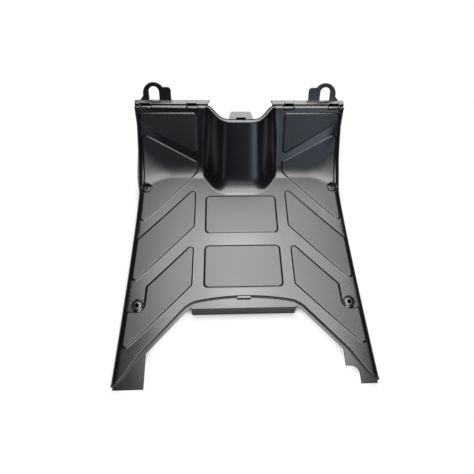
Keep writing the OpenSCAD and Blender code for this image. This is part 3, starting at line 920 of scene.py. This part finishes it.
def leg_ledges():
    """Level ledges on the legs, a little longer than the legs; the right one is notched."""
    front, back, side = LEG_L - TAIL_Y, -TAIL_Y - LEG_OVER, REAR_W / 2 - LEG_SIDE
    line = [limited(p) for p in arch_path(WALL_T / 2) if LEG_X < p.x < side and p.y < front]
    line.sort(key=lambda p: p.y)
    outer = [Vector((side, back)), Vector((side, -TAIL_Y))] + line
    outer.append(Vector((LEG_X, line[-1].y)))
    plain = [Vector((LEG_X, back))] + outer
    notch = rounded(rectangle(LEG_X - NOTCH_L, LEG_X + NOTCH_W, back - NOTCH_L, back + NOTCH_L),
                    [SHARP_R, SHARP_R, NOTCH_R, SHARP_R])
    notch = [p for p in notch if p.x > LEG_X + SHARP_R and p.y > back + SHARP_R]
    notch.sort(key=lambda p: p.x - p.y)
    notched = [Vector((LEG_X, back + NOTCH_L))] + notch + [Vector((LEG_X + NOTCH_W, back))] + outer
    low, high = -LEDGE_DROP - WALL_T, -LEDGE_DROP - LAYER
    prism("right_leg_ledge", notched, low, high)
    prism("left_leg_ledge", mirrored(plain), low, high)


def socket(x, y, length):
    """A blind socket below a clip slot."""
    low = shelf_z - SOCKET_H
    inner = rectangle(x - CLIP_W / 2, x + CLIP_W / 2, y, y + length)
    outer = offset_corners(inner, SOCKET_T)
    prism("socket", outer, low, shelf_z - WALL_T + 0.4, holes=[inner], edge=0.3)
    prism("socket_floor", offset_corners(inner, 0.3), low + 0.2, low + SOCKET_T, edge=0)


def front_edge():
    """Groove and strip in front of the lip, with clip slots, each side of the bulge."""
    low = shelf_z - GROOVE_H
    wall_z = shelf_z - LIP_FALL - LIP_EDGE
    wall_y, step_y, slot_end = groove_y - WALL_T, strip_y + WALL_T, slot_y + CLIP_L
    bend_y = groove_y + SLANT_FROM
    whole = [(wall_y, low), (step_y, low), (step_y, shelf_z - WALL_T), (front_y, shelf_z - WALL_T),
             (front_y, shelf_z), (strip_y, shelf_z), (strip_y, low + WALL_T),
             (groove_y, low + WALL_T), (groove_y, wall_z), (wall_y, wall_z)]
    front = [(slot_end, low), (step_y, low), (step_y, shelf_z - WALL_T),
             (front_y, shelf_z - WALL_T), (front_y, shelf_z), (slot_end, shelf_z)]
    back = [(wall_y, low), (slot_y, low), (slot_y, wall_z), (wall_y, wall_z)]
    across = Matrix(((0, 0, 1, 0), (1, 0, 0, 0), (0, 1, 0, 0), (0, 0, 0, 1)))
    slots = [x + end * CLIP_W / 2 for x in (CLIP_IN_X, CLIP_OUT_X) for end in (-1, 1)]
    stops = [STRIP_IN_X - STRIP_LAP - SLANT] + slots + [STRIP_OUT_X]

    def run(name, section, side, a, b, warp=None):
        """A section in (y, z) run across the board on one side of the bulge."""
        x0, x1 = sorted((side * a, side * b))
        prism(name, section, x0, x1, across, warp=warp)

    def slanted(v):
        if abs(v.x) >= STRIP_IN_X + 1:
            return v
        edge = STRIP_IN_X - STRIP_LAP - (v.y - bend_y) * SLANT / (front_y - bend_y)
        return Vector((math.copysign(max(abs(v.x), edge), v.x), v.y, v.z))

    for side in (-1, 1):
        for a, b in zip(stops[::2], stops[1::2]):
            run("front_strip", whole, side, a, b, slanted)
        for a, b in zip(stops[1::2], stops[2::2]):
            run("slot_front", front, side, a - 0.1, b + 0.1)
            run("slot_back", back, side, a - 0.1, b + 0.1)
            socket(side * (a + b) / 2, slot_y, CLIP_L)


def tongue():
    """The tongue in front of the bulge, with its clip slot."""
    root_y = wall_top_y - BULGE_D + LIP_R
    tongue_y = root_y + lip_w
    end_y = tongue_y + TONGUE_L
    outline = [(-TONGUE_W / 2, root_y), (TONGUE_W / 2, root_y),
               (TONGUE_END_W / 2, end_y), (-TONGUE_END_W / 2, end_y)]
    y, length = tongue_y + TONGUE_SLOT_Y, GROOVE_W - 1
    slot = rectangle(-CLIP_W / 2, CLIP_W / 2, y, y + length)
    top = shelf_z - TONGUE_DROP
    outline = rounded(outline, [SHARP_R, SHARP_R, TONGUE_R, TONGUE_R], pitch=50)
    prism("tongue", outline, top - WALL_T, top, holes=[slot])
    socket(0, y, length)


def hook(side):
    """A looped hook with a stub and a gusset, running on from the strip along the wall's slope."""
    r_in = HOOK_SLOT_W / 2
    slot_top = HOOK_H - HOOK_BAND - r_in
    mid = HOOK_H - HOOK_R
    stub, gusset = -r_in - STUB_W, HOOK_R + GUSSET_W
    meets = 180 - math.degrees(math.asin((STUB_H - mid) / HOOK_R))
    shoulder = 1 + (GUSSET_H - 1) * GUSSET_W / (GUSSET_W + 1)
    outline = [(stub, -WALL_T), (gusset, -WALL_T), (gusset, 1), (HOOK_R, shoulder)]
    outline += arc(0, mid, HOOK_R, 0, meets, 40)
    outline += arc(stub + STUB_R, STUB_H - STUB_R, STUB_R, 90, 180, 8)
    slot = [(-r_in, 0.02), (r_in, 0.02)] + arc(0, slot_top, r_in, 0, 180, 24)
    c, s = math.cos(WALL_SLOPE), math.sin(WALL_SLOPE)
    slope = Matrix(((side, 0, 0, side * HOOK_X), (0, c, -side * s, hook_y + s * HOOK_T / 2),
                    (0, s, side * c, shelf_z - c * HOOK_T / 2), (0, 0, 0, 1)))
    prism("hook", outline, -HOOK_T / 2, HOOK_T / 2, slope, holes=[slot], edge=0.9)


def ribs():
    """Stiffening ribs below the floor, in line with the channels."""
    def bar(name, x0, x1, y0, y1, high):
        prism(name, rectangle(x0, x1, y0, y1), -RIB_H, high, edge=0.3)

    for y in (FRONT_PAD_Y - PAD_L - CENTRE_GAP / 2, SCREW_Y):
        half = half_w(y) - WALL_T / 2
        y0, y1 = y - RIB_T / 2, y + RIB_T / 2
        bar("cross_rib", ROLL_R - half, half - ROLL_R, y0, y1, -WALL_T / 2)
        bar("cross_rib_end", -half, half, y0, y1, -ROLL_R)
    x = PAD_HALF_W + CHANNEL_W / 2
    for at in (-x, x):
        bar("long_rib", at - RIB_T / 2, at + RIB_T / 2, crown_y(x) + WALL_T / 2, SCREW_Y,
            -WALL_T / 2)


shell()
for screw in screws:
    screw_seat(*screw)
arch_fittings()
leg_ledges()
front_edge()
tongue()
hook(-1)
hook(1)
ribs()


# Stage, lights and camera, in metres

LOOK_AT = Vector((0, origin_y, SKIRT_H)) * MM
VIEW_AZ, VIEW_EL, VIEW_ROLL = math.radians(-6.11), math.radians(63.27), math.radians(4.79)
VIEW_DIST = 0.728
PHOTO_PX, FOCAL_PX, SENSOR = 474, 410, 36
CENTRE_PX = (242, 236.8)

TABLE_HALF, TABLE_GREY, TABLE_ROUGHNESS = 1.0, (0.28, 0.28, 0.28, 1), 0.9
# Reaches of the occlusion that paints the part's shadow into the table's glow: a contact shadow by
# its edges, shade under it
CONTACT_SHADOW = 0.012
COVER_REACH, COVERED = 0.11, (0.14, 0.42)
ROOM_COLOUR, ROOM_STRENGTH = (0.9, 0.95, 1.0, 1), 0.02
BLUE_SKY = (0.70, 0.82, 1.0)

# Name, place about the middle of the floor, direction, width, height, power and colour
PANELS = (
    ("main_softbox", (0.08, 0.48, 1.15), (0, 0, -1), 1.0, 0.52, 12.6),
    ("leg_softbox", (0.10, 0.05, 1.15), (0, 0, -1), 0.84, 0.34, 8.2),
    ("bright_softbox", (0.05, 0.42, 1.14), (0, 0, -1), 0.26, 0.36, 2.1),
    ("near_softbox", (0.08, -0.32, 1.15), (0, 0.1, -1), 0.7, 0.4, 8),
    ("rear_softbox", (0.08, -0.72, 1.15), (0, 0.3, -1), 0.64, 0.38, 3.8),
    ("back_softbox", (0.08, -1.16, 0.98), (0, 0.8, -0.6), 0.64, 0.3, 1.2),
    ("front_softbox", (0.10, 0.92, 1.15), (0, -0.2, -1), 1.1, 0.36, 4.4),
    ("far_softbox", (0.12, 1.27, 1.15), (0, -0.4, -1), 1.1, 0.34, 11.5),
    ("right_window", (0.50, -1.36, 0.42), (-0.25, 1, -0.25), 0.44, 0.5, 2.0, BLUE_SKY),
    ("left_window", (-0.62, -1.36, 0.42), (0.25, 1, -0.25), 0.3, 0.5, 0.35, BLUE_SKY),
)


def white_to_camera(tree, seen, otherwise, end):
    """Shows one shader to camera rays and another to all the light that reaches the object."""
    path = tree.nodes.new("ShaderNodeLightPath")
    mix = tree.nodes.new("ShaderNodeMixShader")
    tree.links.new(path.outputs["Is Camera Ray"], mix.inputs["Fac"])
    tree.links.new(otherwise, mix.inputs[1])
    tree.links.new(seen, mix.inputs[2])
    tree.links.new(mix.outputs["Shader"], end)


def add_stage():
    """A table: white to the camera but for a painted shadow of the part, and grey to everything
    else.
    """
    mesh = bpy.data.meshes.new("table")
    corners = rectangle(-TABLE_HALF, TABLE_HALF, -TABLE_HALF, TABLE_HALF)
    mesh.from_pydata([(x, y, 0) for x, y in corners], [], [(0, 1, 2, 3)])
    table = bpy.data.objects.new("table", mesh)
    bpy.context.collection.objects.link(table)
    mat = bpy.data.materials.new("pale_table")
    mat.use_nodes = True
    nodes, links = mat.node_tree.nodes, mat.node_tree.links
    grey = nodes["Principled BSDF"]
    grey.inputs["Base Color"].default_value = TABLE_GREY
    grey.inputs["Roughness"].default_value = TABLE_ROUGHNESS
    glow = nodes.new("ShaderNodeEmission")
    # Painted shadow: occlusion darkens the glow by the part's edges and under it, so its holes
    # show shade
    contact = nodes.new("ShaderNodeAmbientOcclusion")
    contact.inputs["Distance"].default_value = CONTACT_SHADOW
    cover = nodes.new("ShaderNodeAmbientOcclusion")
    cover.inputs["Distance"].default_value = COVER_REACH
    open_air = nodes.new("ShaderNodeMapRange")
    open_air.inputs["From Min"].default_value, open_air.inputs["From Max"].default_value = COVERED
    links.new(cover.outputs["AO"], open_air.inputs["Value"])
    links.new(contact.outputs["Color"], glow.inputs["Color"])
    links.new(open_air.outputs["Result"], glow.inputs["Strength"])
    white_to_camera(mat.node_tree, glow.outputs["Emission"], grey.outputs["BSDF"],
                    nodes["Material Output"].inputs["Surface"])
    mesh.materials.append(mat)


def add_world():
    """A dim room that the camera sees as white."""
    world = bpy.data.worlds.new("studio")
    bpy.context.scene.world = world
    world.use_nodes = True
    nodes = world.node_tree.nodes
    room = nodes["Background"]
    room.inputs["Color"].default_value = ROOM_COLOUR
    room.inputs["Strength"].default_value = ROOM_STRENGTH
    white = nodes.new("ShaderNodeBackground")
    white.inputs["Strength"].default_value = 1.0
    white.inputs["Color"].default_value = (1, 1, 1, 1)
    white_to_camera(world.node_tree, white.outputs["Background"], room.outputs["Background"],
                    nodes["World Output"].inputs["Surface"])


def add_panel(name, place, facing, width, height, power, colour=(1, 1, 1)):
    """A soft rectangular light that the camera doesn't see."""
    data = bpy.data.lights.new(name, "AREA")
    data.shape = "RECTANGLE"
    data.size, data.size_y = width, height
    data.energy = power
    data.color = colour
    light = bpy.data.objects.new(name, data)
    light.location = LOOK_AT + Vector(place)
    light.rotation_euler = (-Vector(facing)).to_track_quat("Z", "Y").to_euler()
    light.visible_camera = False
    bpy.context.collection.objects.link(light)


def add_camera():
    """The photograph's camera, from its fitted direction, roll, distance and centre."""
    a, e, r = VIEW_AZ, VIEW_EL, VIEW_ROLL
    back = Vector((math.sin(a) * math.cos(e), -math.cos(a) * math.cos(e), math.sin(e)))
    level = Vector((math.cos(a), math.sin(a), 0))
    upright = back.cross(level)
    right = math.cos(r) * level + math.sin(r) * upright
    up = -math.sin(r) * level + math.cos(r) * upright
    place = LOOK_AT + back * VIEW_DIST
    data = bpy.data.cameras.new("photo_camera")
    data.sensor_width = SENSOR
    data.lens = FOCAL_PX / PHOTO_PX * SENSOR
    data.shift_x = (PHOTO_PX / 2 - CENTRE_PX[0]) / PHOTO_PX
    data.shift_y = -(PHOTO_PX / 2 - CENTRE_PX[1]) / PHOTO_PX
    camera = bpy.data.objects.new("photo_camera", data)
    rows = [(right[i], up[i], back[i], place[i]) for i in range(3)]
    camera.matrix_world = Matrix(rows + [(0, 0, 0, 1)])
    bpy.context.collection.objects.link(camera)
    bpy.context.scene.camera = camera


add_stage()
add_world()
for panel in PANELS:
    add_panel(*panel)
add_camera()
bpy.context.scene.view_settings.view_transform = "Standard"
